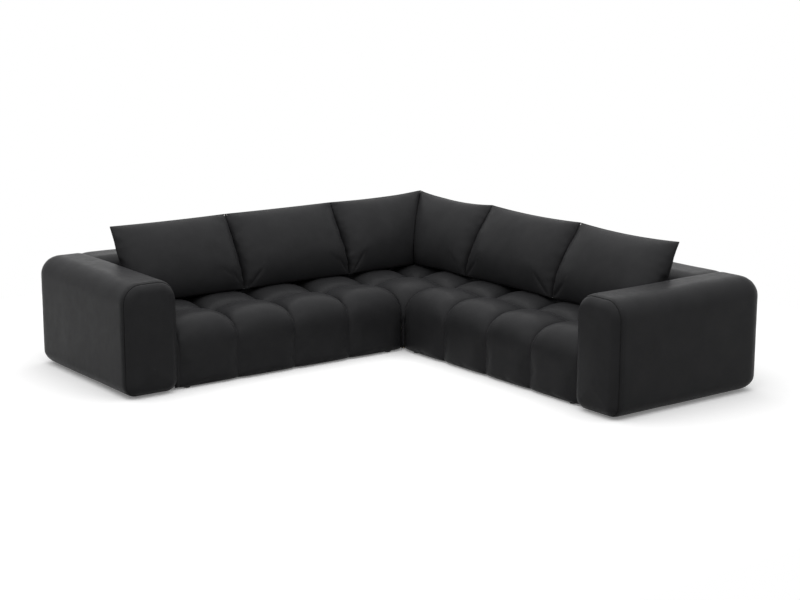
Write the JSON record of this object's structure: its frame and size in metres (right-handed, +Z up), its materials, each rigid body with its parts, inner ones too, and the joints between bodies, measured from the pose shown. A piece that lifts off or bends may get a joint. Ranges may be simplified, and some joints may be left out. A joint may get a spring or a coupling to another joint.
{
  "type": "corner sofa",
  "caption": "Square corner sofa in black leather with equal wings, rolled block arms, deeply tufted puff seats and loose leaning back cushions that lift off.",
  "frame": {"origin": "on the floor, under the middle of the bounding box", "axes": "+Z up; the left wing runs along -X from the corner and its seat faces -Y; the right wing runs along -Y from the corner and its seat faces -X; the corner module is at +X +Y"},
  "size_m": [2.918, 2.918, 0.82],
  "materials": {
    "black_leather": "smooth satin leather with a fine grain",
    "piping_leather": "satin leather over cord",
    "foam": "open cell foam",
    "fibre_fill": "soft white fibre wadding",
    "spring_felt": "needled felt",
    "dust_cloth": "thin black non-woven cloth",
    "timber": "planed unfinished wood",
    "spring_steel": "bare spring wire",
    "clip_plastic": "matte moulded plastic",
    "zinc_steel": "zinc plated",
    "glide_plastic": "matte moulded plastic"
  },
  "bodies": {
    "sofa": {"corner_back_cover_left": "black_leather", "corner_back_cover_right": "black_leather", "corner_back_foam": "foam", "corner_back_frame": "timber", "corner_seat_cover": "black_leather", "corner_seat_dust_cloth": "dust_cloth", "corner_seat_felt": "spring_felt", "corner_seat_foam": "foam", "corner_seat_frame": "timber", "corner_seat_spring_clips": "clip_plastic", "corner_seat_springs": "spring_steel", "frame_bolts": "zinc_steel", "frame_nuts": "zinc_steel", "glides": "glide_plastic", "left_arm_cover": "black_leather", "left_arm_foam": "foam", "left_arm_frame": "timber", "left_arm_front_panel": "black_leather", "left_arm_piping": "piping_leather", "left_back_cover": "black_leather", "left_back_foam": "foam", "left_back_frame": "timber", "left_seat_cover": "black_leather", "left_seat_dust_cloth": "dust_cloth", "left_seat_felt": "spring_felt", "left_seat_foam": "foam", "left_seat_frame": "timber", "left_seat_spring_clips": "clip_plastic", "left_seat_springs": "spring_steel", "right_arm_cover": "black_leather", "right_arm_foam": "foam", "right_arm_frame": "timber", "right_arm_front_panel": "black_leather", "right_arm_piping": "piping_leather", "right_back_cover": "black_leather", "right_back_foam": "foam", "right_back_frame": "timber", "right_seat_cover": "black_leather", "right_seat_dust_cloth": "dust_cloth", "right_seat_felt": "spring_felt", "right_seat_foam": "foam", "right_seat_frame": "timber", "right_seat_spring_clips": "clip_plastic", "right_seat_springs": "spring_steel"},
    "left_outer_cushion": {"left_outer_cushion_cover": "black_leather", "left_outer_cushion_fill": "fibre_fill"},
    "left_middle_cushion": {"left_middle_cushion_cover": "black_leather", "left_middle_cushion_fill": "fibre_fill"},
    "left_corner_cushion": {"left_corner_cushion_cover": "black_leather", "left_corner_cushion_fill": "fibre_fill"},
    "right_outer_cushion": {"right_outer_cushion_cover": "black_leather", "right_outer_cushion_fill": "fibre_fill"},
    "right_middle_cushion": {"right_middle_cushion_cover": "black_leather", "right_middle_cushion_fill": "fibre_fill"},
    "right_corner_cushion": {"right_corner_cushion_cover": "black_leather", "right_corner_cushion_fill": "fibre_fill"}
  },
  "joints": [
    {"name": "left_outer_cushion_lift", "type": "slide", "parent": "sofa", "child": "left_outer_cushion", "axis": [0, 0, 1], "range_m": [0, 0.45]},
    {"name": "left_middle_cushion_lift", "type": "slide", "parent": "sofa", "child": "left_middle_cushion", "axis": [0, 0, 1], "range_m": [0, 0.45]},
    {"name": "left_corner_cushion_lift", "type": "slide", "parent": "sofa", "child": "left_corner_cushion", "axis": [0, 0, 1], "range_m": [0, 0.45]},
    {"name": "right_outer_cushion_lift", "type": "slide", "parent": "sofa", "child": "right_outer_cushion", "axis": [0, 0, 1], "range_m": [0, 0.45]},
    {"name": "right_middle_cushion_lift", "type": "slide", "parent": "sofa", "child": "right_middle_cushion", "axis": [0, 0, 1], "range_m": [0, 0.45]},
    {"name": "right_corner_cushion_lift", "type": "slide", "parent": "sofa", "child": "right_corner_cushion", "axis": [0, 0, 1], "range_m": [0, 0.45]}
  ]
}
